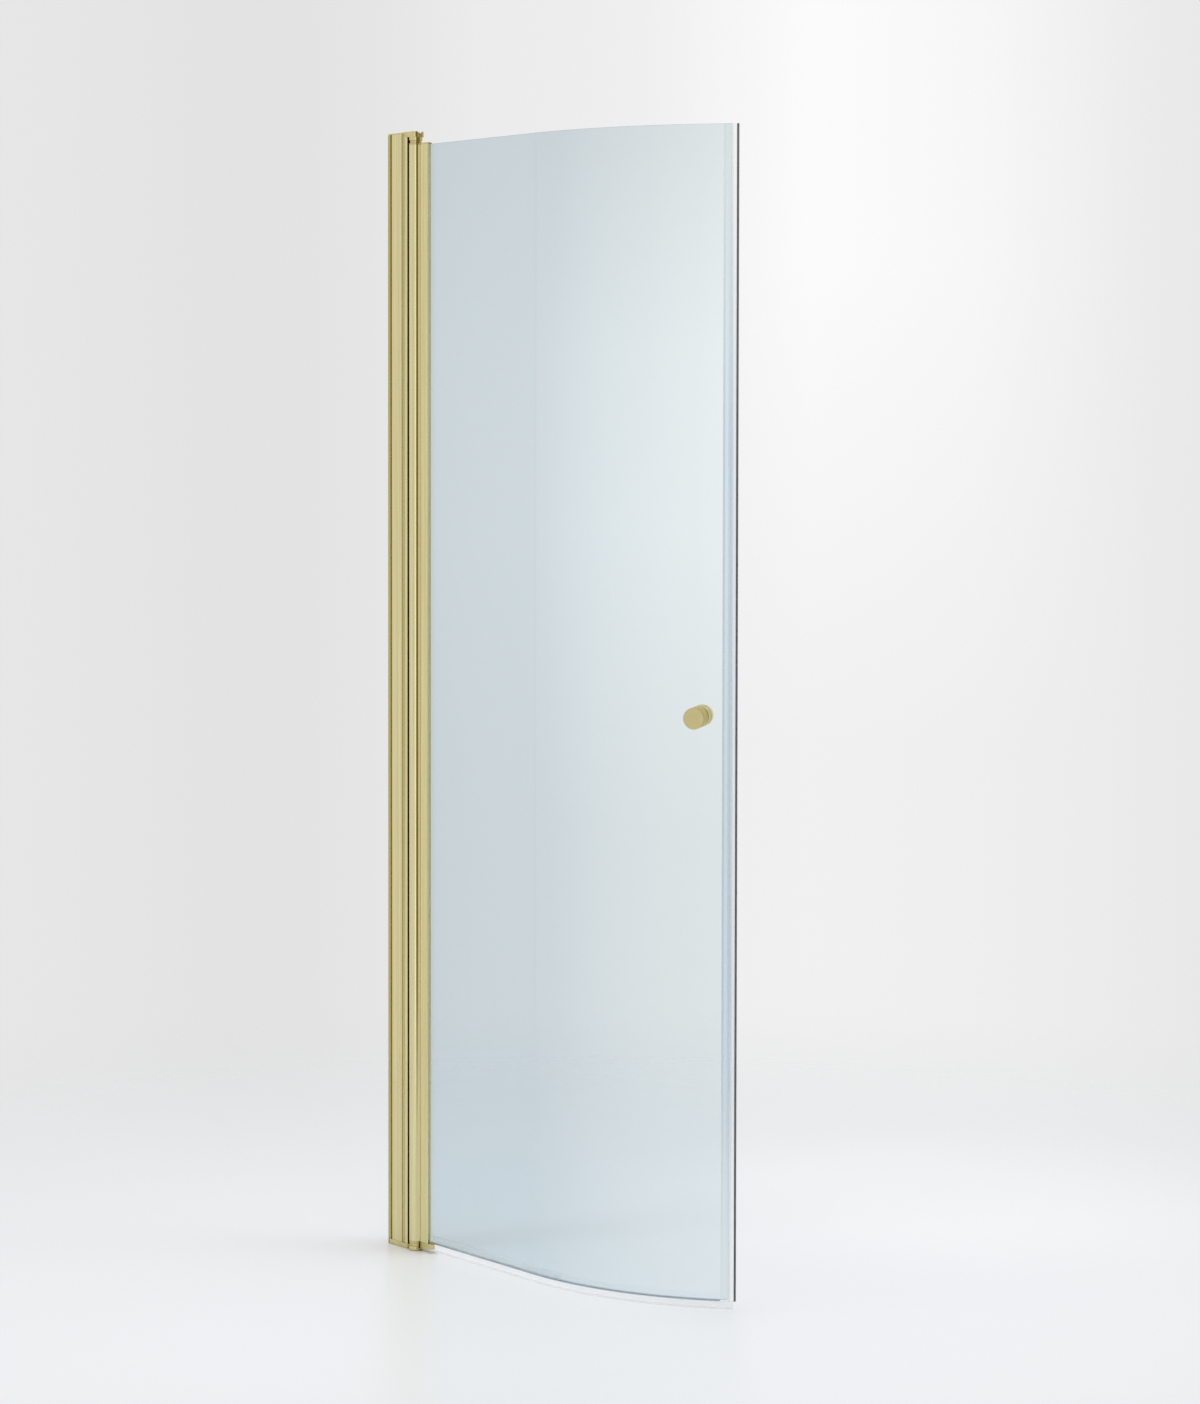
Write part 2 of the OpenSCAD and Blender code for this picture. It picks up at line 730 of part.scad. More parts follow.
// Cross bar through the pin, riding in the valleys of the cam.
module lift_bar() {
    bar_half = cam_r - 0.5;
    color(steel) at_pivot(bar_z) rotate([0, 90, 0]) rotate_extrude()
        polygon([[0, -bar_half], [bar_r - 0.4, -bar_half], [bar_r, -bar_half + 0.4],
            [bar_r, bar_half - 0.4], [bar_r - 0.4, bar_half], [0, bar_half]]);
}

module lower_plug() {
    plug_r = barrel_bore - seat;
    key_gap = 0.06;
    color(gold_dark) at_pivot() difference() {
        union() {
            translate([0, 0, plug_z]) cylinder(r = barrel_r, h = stile_z - seat - plug_z);
            translate([0, 0, plug_z + 1]) cylinder(r = plug_r, h = stile_z + lower_plug_len - plug_z - 1);
        }
        // Bore with a flat, so that the pin turns with the door and slides in it.
        difference() {
            translate([0, 0, plug_z - 1])
                cylinder(r = key_r + key_gap, h = spring_top + rest_gap - plug_z + 1);
            translate([key_flat + key_gap, -2 * key_r, 0]) cube([key_r, 4 * key_r, spring_top + 20]);
        }
        translate([0, 0, lower_grub_z]) rotate([-90, 0, 0]) translate([0, 0, key_r + 1.4])
            cylinder(r = grub_r + seat, h = barrel_r);
    }
}

// Compression spring that keeps the lower pin seated: one wire swept along a helix.
module pin_spring() {
    turns = 6;
    per_turn = 18;
    sides = 6;
    wire_r = 0.55;
    coil_r = key_flat - wire_r - 0.3;
    n = turns * per_turn;
    climb = spring_top - spring_z - 2 * wire_r;
    function at(i) = let (a = i * 360 / per_turn, up = spring_z + wire_r + climb * i / n)
        [for (k = [0 : sides - 1]) let (b = k * 360 / sides, r = coil_r + wire_r * cos(b))
            [r * cos(a), r * sin(a), up + wire_r * sin(b)]];
    points = [for (i = [0 : n]) each at(i)];
    walls = [for (i = [0 : n - 1], k = [0 : sides - 1]) let (l = (k + 1) % sides,
        a = i * sides, b = (i + 1) * sides)
        each [[a + k, a + l, b + l], [a + k, b + l, b + k]]];
    ends = [[for (k = [sides - 1 : -1 : 0]) k], [for (k = [0 : sides - 1]) n * sides + k]];
    color(steel) at_pivot() polyhedron(points, concat(walls, ends), 6);
}

module plug_screws() {
    tips = [[upper_grub_z, pin_r + rest_gap], [lower_grub_z, key_r + 1.6]];
    color(steel) for (t = tips) at_pivot(t[0]) rotate([-90, 0, 0]) difference() {
        rotate_extrude() polygon([[0, t[1]], [grub_r - 0.8, t[1]], [grub_r, t[1] + 0.8],
            [grub_r, barrel_r - 0.4], [0, barrel_r - 0.4]]);
        translate([0, 0, barrel_r - 2.2]) cylinder(r = 1.4, h = 4, $fn = 6);
    }
}

// Glass

module setting_block() {
    color(nylon) translate([glass_start + 1, -glass_half, foot_top + seat])
        cube([stile_end - glass_start - 2, glass_t, glass_foot - foot_top - 2 * seat]);
}

module glass_panel() {
    color(clear) difference() {
        slab(glass_foot, glass_top) band(-glass_half, glass_half, glass_start, bend_turn);
        at_turn(knob_turn) translate([0, 0, knob_z]) rotate([90, 0, 0])
            cylinder(r = knob_hole_r, h = 4 * glass_t, center = true);
    }
}

// Wedge gasket on one side of the glass, with a foot behind the lip, flush with the lip's end.
module glazing_gasket(side, foot_x, end_x) {
    inner = glass_half + 0.15;
    outer = pocket_half - 0.15;
    foot_y = stile_half - stile_skin - rest_gap;
    slab(stile_z + rest_gap, stile_top - rest_gap) mirror([0, side < 0 ? 0 : 1]) {
        translate([pocket_x + 1, -outer]) square([end_x - 0.4 - pocket_x - 1, outer - inner]);
        translate([foot_x, -foot_y]) square([end_x - lip_w - 0.8 - foot_x, foot_y - outer + eps]);
    }
}

module outer_glazing_gasket() {
    color(smoke) glazing_gasket(-1, pocket_x + 7.4, stile_end);
}

module inner_glazing_gasket() {
    color(smoke) glazing_gasket(1, pocket_x + 1, inner_lip_end);
}

// Knob

// Half section of one knob: flat base, straight neck with rounded corners, and flat head.
module knob_profile() {
    base_t = 6;
    head_t = 12;
    edge = 1;
    corner_r = 2.5;
    difference() {
        union() {
            square([knob_r - edge, knob_len]);
            translate([0, edge]) square([knob_r, knob_len - 2 * edge]);
            for (y = [edge, knob_len - edge]) translate([knob_r - edge, y]) circle(r = edge, $fn = 32);
        }
        round_rect(knob_neck_r, base_t, knob_r + 2 * corner_r, knob_len - head_t, corner_r);
        // Blind threaded hole for the stud.
        translate([-1, -1]) square([stud_r + seat + 1, 21]);
    }
}

module knob(side) {
    at_turn(knob_turn) translate([0, side * knob_base, knob_z]) rotate([-90 * side, 0, 0])
        rotate_extrude($fn = 96) intersection() {
            knob_profile();
            square([knob_r + 5, knob_len + 5]);
        }
}

module outer_knob() {
    color(gold_dark) knob(-1);
}

module inner_knob() {
    color(gold_dark) knob(1);
}

module knob_stud() {
    reach = knob_base + 18;
    color(steel) at_turn(knob_turn) translate([0, 0, knob_z]) rotate([90, 0, 0]) rotate_extrude()
        polygon([[0, -reach], [stud_r - 0.5, -reach], [stud_r, -reach + 0.5],
            [stud_r, reach - 0.5], [stud_r - 0.5, reach], [0, reach]]);
}

// Soft washers, each with a collar that keeps the stud off the glass.
module knob_washers() {
    face = glass_half + rest_gap;
    color(clear) for (side = [-1, 1])
        at_turn(knob_turn) translate([0, 0, knob_z]) rotate([-90 * side, 0, 0]) difference() {
            union() {
                translate([0, 0, face]) cylinder(r = knob_r - 1.5, h = washer_t);
                translate([0, 0, 0.3]) cylinder(r = knob_hole_r - 0.3, h = face);
            }
            cylinder(r = stud_r + 2 * seat, h = 20, center = true);
        }
}

// Seals

module magnet_seal() {
    gap = 0.15;
    web_end = gap + seal_wall;
    chamber_end = web_end + chamber_w;
    jaw_half = seal_out + 0.6;
    color(clear) slab(seal_base_z + rest_gap, glass_top) {
        bend_band(seal_in, seal_out, bend_turn - clip_turn, bend_turn);
        bend_band(-seal_out, -seal_in, bend_turn - clip_turn, bend_turn);
        at_turn(bend_turn) {
            for (side = [-1, 1]) translate([-eps, side < 0 ? -seal_out : seal_in])
                square([gap + 2 * eps, seal_wall]);
            translate([gap, -seal_out]) square([seal_wall, 2 * seal_out]);
            difference() {
                translate([gap, -seal_out]) square([chamber_end - gap, 2 * seal_out]);
                translate([web_end, -seal_out + chamber_wall])
                    square([chamber_w - chamber_wall, 2 * (seal_out - chamber_wall)]);
            }
            // Jaws round the magnet strip.
            for (side = [-1, 1]) {
                translate([chamber_end - chamber_wall, side < 0 ? -jaw_half : jaw_half - jaw_t])
                    square([magnet_t + chamber_wall, jaw_t]);
                translate([chamber_end - chamber_wall, side < 0 ? -jaw_half : seal_out - jaw_t])
                    square([chamber_wall, jaw_half - seal_out + jaw_t]);
            }
        }
    }
}

module magnet_strip() {
    chamber_end = 0.15 + seal_wall + chamber_w;
    strip_half = seal_out + 0.6 - jaw_t - seat;
    color(smoke) slab(seal_base_z + rest_gap, glass_top) at_turn(bend_turn)
        translate([chamber_end + seat, -strip_half]) square([magnet_t, 2 * strip_half]);
}

// Clip along the lower edge of the glass, with a wiping lip outside and a drip lip inside.
module bottom_seal() {
    start = stile_end + 1.6;
    lip_start = stile_end + foot_reach + 1;
    clip_end = bend_turn - clip_turn - 0.1;
    lip_end = bend_turn + chamber_w / bend_r * 180 / PI;
    lip_t = 1;
    drip_h = 5;
    color(clear) {
        slab(seal_base_z, seal_base_z + seal_base_t) band(-seal_out, seal_out, start, clip_end);
        for (side = [-1, 1]) slab(seal_base_z, glass_foot + bottom_clip_h)
            band(side < 0 ? -seal_out : seal_in, side < 0 ? -seal_in : seal_out, start, clip_end);
        slab(lip_gap, seal_base_z + eps) band(seal_out - lip_t, seal_out, lip_start, clip_end);
        slab(lip_gap, seal_base_z) band(seal_out - lip_t, seal_out, lip_start, lip_end);
        slab(seal_base_z - drip_h, seal_base_z + eps)
            band(-seal_out + 0.5, -seal_out + 0.5 + lip_t, lip_start, clip_end);
    }
}

wall_channel();
adjusting_profile();
cover_strip();
clamp_screws();
hinge_gaskets();
top_bracket();
top_bush();
top_bracket_screws();
bottom_bracket();
bottom_bush();
bottom_bracket_screws();
lower_pin();
hinge_stile();
stile_top_cap();
stile_foot();
cap_screws();
upper_plug();
upper_pin();
lift_bar();
lower_plug();
pin_spring();
plug_screws();
setting_block();
glass_panel();
outer_glazing_gasket();
inner_glazing_gasket();
outer_knob();
inner_knob();
knob_stud();
knob_washers();
magnet_seal();
magnet_strip();
bottom_seal();
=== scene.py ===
"""Looks of the curved shower door: light-gold profiles, bent glass, clear seals, turned knobs."""

import json
import math

import bmesh
import bpy
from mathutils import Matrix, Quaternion, Vector


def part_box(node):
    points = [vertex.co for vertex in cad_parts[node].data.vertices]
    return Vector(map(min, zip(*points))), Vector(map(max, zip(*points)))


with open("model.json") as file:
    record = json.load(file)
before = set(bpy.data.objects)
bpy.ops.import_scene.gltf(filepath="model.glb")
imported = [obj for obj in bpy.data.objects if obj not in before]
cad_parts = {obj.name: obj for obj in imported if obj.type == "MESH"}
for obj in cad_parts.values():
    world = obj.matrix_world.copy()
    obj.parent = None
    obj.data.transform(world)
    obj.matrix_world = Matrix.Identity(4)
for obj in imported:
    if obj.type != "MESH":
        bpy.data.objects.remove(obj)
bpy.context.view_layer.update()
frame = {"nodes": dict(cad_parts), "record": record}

# The door's own sizes, in metres and degrees, as in the part's source.
STRAIGHT_X = 0.3925
BEND_R = 0.5
BEND_TURN = 42.5
EDGE_ALONG = Vector((math.cos(math.radians(BEND_TURN)), math.sin(math.radians(BEND_TURN)), 0.0))
GLASS_END = Vector((STRAIGHT_X + BEND_R * EDGE_ALONG.y, BEND_R * (1 - EDGE_ALONG.x), 0.0))
GLASS_FOOT = 0.0195
SHEET_TOP = 1.95
SEAL_MIDDLE = 0.97
# The side seal: its painted shade bands from the glass's end, their waver, and how it grows paler
# up and down.
SIDE_SHADE_BANDS = (-0.014, 0.012)
BAND_WAVER = 0.001
SEAL_PALER = (0.45, 0.9)
PALE_SHARE = 0.85
# The bottom seal's base under the glass, painted dark as painted shade, and the heights between
# which its lip thins out.
SEAL_BASE = 0.0021
LIP_TIP = (0.0075, 0.009)
# The knobs: their turn round the bend, the neck, the flare over which its painted light fades, the
# share of that light left past the flare, and how metallic the neck is.
KNOB_TURN = 36.5
KNOB_NECK_R = 0.011
KNOB_FLARE = 0.004
FLARE_SHARE = 0.55
NECK_METALLIC = 0.4
# Distances from the middle of the knobs' stud, along it: the neck, and the rim of the end face.
KNOB_NECK = (0.0094, 0.0266)
KNOB_NECK_BLEND = 0.0004
KNOB_RIM = (0.0355, 0.0367)
KNOB_MIDDLE = sum(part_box("knob_stud"), Vector()) / 2

# Tones that more than one finish uses.
SLANTING_GOLD = (0.92, 0.85, 0.58, 1)
RUBBED_DRAWN = (0.93, 0.88, 0.68, 1)
RUBBED_PLATED = (0.95, 0.90, 0.70, 1)
NECK_LIGHT_TONE = (0.92, 0.83, 0.48, 1)
KNOB_GOLD = ((0.56, 0.48, 0.22, 1), (0.66, 0.58, 0.30, 1))

# How far a rounded edge has turned, as a cosine, where it begins to look rubbed and where fully.
RUBBED_TURN = (0.985, 0.8)

# Lines, rings and grains per metre.
DRAWN_LINES = 2200.0
TURNED_RINGS = 5000.0
CASTING_GRAINS = 1400.0
MOULDED_GRAINS = 900.0
GROUND_GRAINS = 2500.0

GLASS_IOR = 1.5
VINYL_IOR = 1.42
# The share of a full slant at which the tint of a clear piece is strongest.
FULL_TINT = 0.42
# Painted light and shade on the sheet by height: share of the height and level, the two ends first.
SHEET_LIGHT_BY_HEIGHT = ((0.0, 0.98), (1.0, 0.92), (0.4, 0.98), (0.65, 1.06), (0.8, 1.04))
# Where the straight part passes into the bend, and the straight part's share of the painted light.
BEND_START = (STRAIGHT_X - 0.03, STRAIGHT_X + 0.07)
STRAIGHT_LIGHT_SHARE = 0.45
# How upright the normal of a ground edge is, so that the hole and the side edges stay clear.
LEVEL_FACE = 0.9

# The floor: a round disc just below the door, and in its own frame a fade and a painted light
# patch.
FLOOR_R = 6.0
FLOOR_AT = (0.4, 0.1, -0.0002)
FLOOR_FADE = (0.5, 2.8)
FLOOR_LIGHT_MIDDLE = (-0.02, 0.92, 0.0)
FLOOR_LIGHT_FADE = (0.75, 0.15)

# The room's light, and how far up a view points where the pool of light begins and is full.
ROOM_LIGHT = (0.97, 0.985, 1.0, 1)
ROOM_STRENGTH = 0.68
POOL_RISE = (-0.09, 0.05)

# The camera of the photograph, in the door's frame. Its image is 1404 pixels high.
IMAGE_H = 1404
CAMERA_AT = Vector((4.7724, -3.5452, 1.4261))
LOOK_ALONG = Vector((-0.76482, 0.64336, -0.03371))
CAMERA_ROLL = 0.0017
FOCAL_PIXELS = 3381.3
CENTRE_ROW = 548.9


# Node helpers


def node(tree, kind, settings=None, **inputs):
    """Adds a node, sets its properties, and sets or links its inputs by name or number."""
    made = tree.nodes.new(kind)
    for name, value in (settings or {}).items():
        setattr(made, name, value)
    for name, value in inputs.items():
        key = int(name[1:]) if name[0] == "_" else name.replace("_", " ")
        connect(tree, value, made.inputs[key])
    return made


def connect(tree, value, socket):
    """Links an output to a socket, or sets the socket's own value."""
    if isinstance(value, bpy.types.NodeSocket):
        tree.links.new(value, socket)
    else:
        socket.default_value = value


def maths(tree, operation, a, b=0.0, clamp=False):
    settings = {"operation": operation, "use_clamp": clamp}
    return node(tree, "ShaderNodeMath", settings, _0=a, _1=b).outputs[0]


def vector_maths(tree, operation, a, b=(0.0, 0.0, 0.0)):
    """A vector for SUBTRACT, and one value for DOT_PRODUCT, LENGTH and DISTANCE."""
    made = node(tree, "ShaderNodeVectorMath", {"operation": operation}, _0=a, _1=b)
    return made.outputs[0 if operation == "SUBTRACT" else 1]


def span(tree, value, low, high, to_low=0.0, to_high=1.0, interpolation="LINEAR"):
    """Maps low and high to to_low and to_high, and holds the value past either end."""
    settings = {"interpolation_type": interpolation}
    inputs = {"_0": value, "_1": low, "_2": high, "_3": to_low, "_4": to_high}
    return node(tree, "ShaderNodeMapRange", settings, **inputs).outputs[0]


def parts_of(tree, vector):
    return node(tree, "ShaderNodeSeparateXYZ", Vector=vector).outputs


def stretched(tree, place, scale_z):
    """Places squeezed or stretched along the door's height."""
    return node(tree, "ShaderNodeMapping", Vector=place, Scale=(1.0, 1.0, scale_z)).outputs[0]


def mix_colour(tree, share, a, b, blend="MIX"):
    settings = {"data_type": "RGBA", "blend_type": blend}
    return node(tree, "ShaderNodeMix", settings, _0=share, _6=a, _7=b).outputs[2]


def mix_shader(tree, share, a, b):
    return node(tree, "ShaderNodeMixShader", _0=share, _1=a, _2=b).outputs[0]


def noise(tree, vector, scale, detail=2.0, roughness=0.5):
    inputs = {"Vector": vector, "Scale": scale, "Detail": detail, "Roughness": roughness}
    return node(tree, "ShaderNodeTexNoise", **inputs).outputs["Fac"]


def ramp(tree, value, stops):
    """Colour ramp from (place, colour) pairs, of which the first two are its ends."""
    made = node(tree, "ShaderNodeValToRGB", Fac=value)
    band = made.color_ramp
    for i, (place, colour) in enumerate(stops):
        stop = band.elements[i] if i < 2 else band.elements.new(place)
        stop.position, stop.color = place, colour
    return made.outputs["Color"]


def bump(tree, height, strength, distance, **normal):
    inputs = {"Height": height, "Strength": strength, "Distance": distance, **normal}
    return node(tree, "ShaderNodeBump", **inputs).outputs[0]


def principled(tree, **inputs):
    return node(tree, "ShaderNodeBsdfPrincipled", **inputs).outputs[0]


def group(name, inputs, outputs, build):
    """A shader node group with named value, colour or vector sockets, filled in by build."""
    kinds = {"value": "NodeSocketFloat", "colour": "NodeSocketColor", "vector": "NodeSocketVector"}
    tree = bpy.data.node_groups.new(name, "ShaderNodeTree")
    for label, kind, value in inputs:
        socket = tree.interface.new_socket(label, in_out="INPUT", socket_type=kinds[kind])
        if value is not None:
            socket.default_value = value
    for label, kind in outputs:
        tree.interface.new_socket(label, in_out="OUTPUT", socket_type=kinds[kind])
    entry = tree.nodes.new("NodeGroupInput")
    end = tree.nodes.new("NodeGroupOutput")
    for label, value in build(tree, entry.outputs).items():
        connect(tree, value, end.inputs[label])
    return tree


def place_group(tree, kind, **inputs):
    return node(tree, "ShaderNodeGroup", {"node_tree": kind}, **inputs).outputs


# Shared effects


def build_drawn_grain(tree, given):
    """Long, fine lines left along an extrusion by the die, and slow waves in its sheen."""
    along = stretched(tree, given["Place"], scale_z=0.006)
    lines = noise(tree, along, given["Lines per metre"], detail=3.0, roughness=0.65)
    broad = noise(tree, along, maths(tree, "MULTIPLY", given["Lines per metre"], 0.12))
    cloud = noise(tree, given["Place"], scale=7.0, detail=3.0)
    fine_share = maths(tree, "MULTIPLY", lines, 0.6)
    broad_share = maths(tree, "MULTIPLY", broad, 0.4)
    return {
        "Tone": maths(tree, "ADD", fine_share, broad_share),
        "Cloud": cloud,
        "Height": lines,
    }


drawn_grain = group(
    "drawn_grain",
    [("Place", "vector", None), ("Lines per metre", "value", DRAWN_LINES)],
    [("Tone", "value"), ("Cloud", "value"), ("Height", "value")],
    build_drawn_grain,
)


def build_cast_skin(tree, given):
    """Fine, even pebbling of a casting or moulding, with soft blotches."""
    fine = noise(tree, given["Place"], given["Grains per metre"], detail=4.0, roughness=0.6)
    blotch = noise(tree, given["Place"], scale=60.0)
    return {"Height": fine, "Blotch": blotch}


cast_skin = group(
    "cast_skin",
    [("Place", "vector", None), ("Grains per metre", "value", CASTING_GRAINS)],
    [("Height", "value"), ("Blotch", "value")],
    build_cast_skin,
)


def build_rubbed_edge(tree, given):
    """Edges rounded to a small radius, and a broken mask of where hands and packing rub them."""
    rounded = node(tree, "ShaderNodeBevel", {"samples": 4}, Radius=given["Reach"]).outputs[0]
    flat = node(tree, "ShaderNodeNewGeometry").outputs["Normal"]
    bend = span(tree, vector_maths(tree, "DOT_PRODUCT", rounded, flat), *RUBBED_TURN)
    patches = noise(tree, given["Place"], scale=180.0, detail=3.0)
    broken = span(tree, patches, 0.3, 0.62)
    return {"Mask": maths(tree, "MULTIPLY", bend, broken, clamp=True), "Rounded": rounded}


rubbed_edge = group(
    "rubbed_edge",
    [("Place", "vector", None), ("Reach", "value", 0.0005)],
    [("Mask", "value"), ("Rounded", "vector")],
    build_rubbed_edge,
)


def build_corner_shade(tree, given):
    """Colour darkened in grooves and inner corners, where gold is lit only by gold."""
    open_sky = node(tree, "ShaderNodeAmbientOcclusion", {"samples": 6}, Distance=given["Reach"])
    hollow = span(tree, open_sky.outputs["AO"], 0.25, 0.8, 1.0, 0.0)
    deep = maths(tree, "MULTIPLY", hollow, given["Depth"])
    return {"Colour": mix_colour(tree, deep, given["Colour"], given["Shadow colour"], "MULTIPLY")}


corner_shade = group(
    "corner_shade",
    [
        ("Colour", "colour", None),
        ("Shadow colour", "colour", (0.42, 0.33, 0.11, 1)),
        ("Reach", "value", 0.004),
        ("Depth", "value", 0.9),
    ],
    [("Colour", "colour")],
    build_corner_shade,
)


def build_turned_rings(tree, given):
    """Rings that a lathe tool leaves round an axis, at a place and angle of its own."""
    moved = vector_maths(tree, "SUBTRACT", given["Place"], given["Centre"])
    settings = {"rotation_type": "Z_AXIS"}
    aligned = node(tree, "ShaderNodeVectorRotate", settings, Vector=moved, Angle=given["Angle"])
    across, along, up = parts_of(tree, aligned.outputs[0])
    squares = [maths(tree, "MULTIPLY", part, part) for part in (across, up)]
    radius = maths(tree, "SQRT", maths(tree, "ADD", *squares))
    place = node(tree, "ShaderNodeCombineXYZ", X=radius, Y=along, Z=0.0).outputs[0]
    depth = maths(tree, "ABSOLUTE", along)
    start, end = KNOB_NECK
    past_start = span(tree, depth, start, start + KNOB_NECK_BLEND)
    before_end = span(tree, depth, end - KNOB_NECK_BLEND, end, 1.0, 0.0)
    return {
        "Tone": noise(tree, place, given["Rings per metre"], roughness=0.6),
        "Radius": radius,
        "Depth": depth,
        "Between": maths(tree, "MULTIPLY", past_start, before_end, clamp=True),
    }


turned_rings = group(
    "turned_rings",
    [
        ("Place", "vector", None),
        ("Centre", "vector", (0.0, 0.0, 0.0)),
        ("Angle", "value", 0.0),
        ("Rings per metre", "value", TURNED_RINGS),
    ],
    [("Tone", "value"), ("Radius", "value"), ("Depth", "value"), ("Between", "value")],
    build_turned_rings,
)


# Materials


def new_material(name):
    made = bpy.data.materials.new(name)
    made.use_nodes = True
    tree = made.node_tree
    tree.nodes.clear()
    return made, tree


def finish_material(tree, shader):
    node(tree, "ShaderNodeOutputMaterial", Surface=shader)


def object_place(tree):
    return node(tree, "ShaderNodeTexCoord").outputs["Object"]


def finish_gold(tree, colour, roughness, normal, metallic=1.0):
    """The last nodes of every gold, which keeps its colour where it is seen at a slant."""
    shader = principled(
        tree,
        Base_Color=colour,
        Metallic=metallic,
        Roughness=roughness,
        Normal=normal,
        Specular_Tint=SLANTING_GOLD,
    )
    finish_material(tree, shader)


def drawn_gold(name, dark, light, roughness):
    """Satin gold anodised extrusion."""
    made, tree = new_material(name)
    place = object_place(tree)
    grain = place_group(tree, drawn_grain, Place=place, Lines_per_metre=DRAWN_LINES)
    edge = place_group(tree, rubbed_edge, Place=place, Reach=0.0004)
    colour = mix_colour(tree, span(tree, grain["Tone"], 0.35, 0.65), dark, light)
    colour = mix_colour(tree, maths(tree, "MULTIPLY", edge["Mask"], 0.35), colour, RUBBED_DRAWN)
    colour = place_group(tree, corner_shade, Colour=colour)["Colour"]
    rough = span(tree, grain["Cloud"], 0.3, 0.7, roughness - 0.06, roughness + 0.04)
    normal = bump(
        tree, grain["Height"], strength=0.12, distance=0.00006, Normal=edge["Rounded"]
    )
    finish_gold(tree, colour, rough, normal)
    return made


def plated_gold(name, dark, light, roughness):
    """Plated casting, smoother than the extrusions."""
    made, tree = new_material(name)
    place = object_place(tree)
    skin = place_group(tree, cast_skin, Place=place, Grains_per_metre=CASTING_GRAINS)
    edge = place_group(tree, rubbed_edge, Place=place, Reach=0.0006)
    colour = mix_colour(tree, span(tree, skin["Blotch"], 0.3, 0.7), dark, light)
    colour = mix_colour(tree, maths(tree, "MULTIPLY", edge["Mask"], 0.5), colour, RUBBED_PLATED)
    colour = place_group(tree, corner_shade, Colour=colour)["Colour"]
    rough = span(tree, skin["Blotch"], 0.3, 0.7, roughness - 0.04, roughness + 0.04)
    normal = bump(tree, skin["Height"], strength=0.15, distance=0.00008, Normal=edge["Rounded"])
    finish_gold(tree, colour, rough, normal)
    return made


def turned_gold(name, dark, light, roughness, end_face=None):
    """Plated knob turned on a lathe, with painted light on its shaded neck, and, if given, an end
    face in other tones.
    """
    made, tree = new_material(name)
    place = object_place(tree)
    turned = place_group(
        tree,
        turned_rings,
        Place=place,
        Centre=KNOB_MIDDLE,
        Angle=-math.radians(KNOB_TURN),
        Rings_per_metre=TURNED_RINGS,
    )
    edge = place_group(tree, rubbed_edge, Place=place, Reach=0.0005)
    tone = span(tree, turned["Tone"], 0.35, 0.65)
    colour = mix_colour(tree, tone, dark, light)
    if end_face:
        at_end = span(tree, turned["Depth"], *KNOB_RIM)
        colour = mix_colour(tree, at_end, colour, mix_colour(tree, tone, *end_face))
    colour = mix_colour(tree, maths(tree, "MULTIPLY", edge["Mask"], 0.5), colour, RUBBED_PLATED)
    # Painted light on the neck and past its flare, where the knob's flanges shade it; the neck is
    # also less metallic.
    flare_end = KNOB_NECK_R + KNOB_FLARE
    near_neck = span(tree, turned["Radius"], KNOB_NECK_R, flare_end, 1.0, FLARE_SHARE)
    neck = maths(tree, "MULTIPLY", near_neck, turned["Between"])
    colour = mix_colour(tree, neck, colour, NECK_LIGHT_TONE)
    rough = span(tree, tone, 0.0, 1.0, roughness - 0.04, roughness + 0.04)
    normal = bump(tree, turned["Tone"], strength=0.1, distance=0.00005, Normal=edge["Rounded"])
    metallic = span(tree, neck, 0.0, 1.0, 1.0, NECK_METALLIC)
    finish_gold(tree, colour, rough, normal, metallic)
    return made


def plain_skin(name, dark, light, roughness, metallic=0.0, gloss=0.5):
    """Moulded plastic, rubber or plain steel, with fine pebbling and a little tone."""
    made, tree = new_material(name)
    place = object_place(tree)
    skin = place_group(tree, cast_skin, Place=place, Grains_per_metre=MOULDED_GRAINS)
    shader = principled(
        tree,
        Base_Color=mix_colour(tree, span(tree, skin["Blotch"], 0.3, 0.7), dark, light),
        Metallic=metallic,
        Specular_IOR_Level=gloss,
        Roughness=span(tree, skin["Blotch"], 0.2, 0.8, roughness - 0.05, roughness + 0.05),
        Normal=bump(tree, skin["Height"], strength=0.2, distance=0.00006),
    )
    finish_material(tree, shader)
    return made


def lamps_through(tree, shader, tint):
    """Lets lamps and bounced light through a clear shader, which then leaves a faint shadow."""
    clear = node(tree, "ShaderNodeBsdfTransparent", Color=tint).outputs[0]
    ray = node(tree, "ShaderNodeLightPath").outputs
    lamp_or_bounce = maths(tree, "MAXIMUM", ray["Is Shadow Ray"], ray["Is Diffuse Ray"])
    return mix_shader(tree, lamp_or_bounce, shader, clear)


def slanting_tint(tree, facing, slanting):
    """Tint that is stronger where a clear piece is seen at a slant."""
    slant = node(tree, "ShaderNodeLayerWeight", Blend=0.5).outputs["Facing"]
    return mix_colour(tree, span(tree, slant, 0.0, FULL_TINT), facing, slanting)


def clear_body(tree, tint, roughness, ior):
    return principled(tree, Base_Color=tint, Roughness=roughness, IOR=ior, Transmission_Weight=1.0)


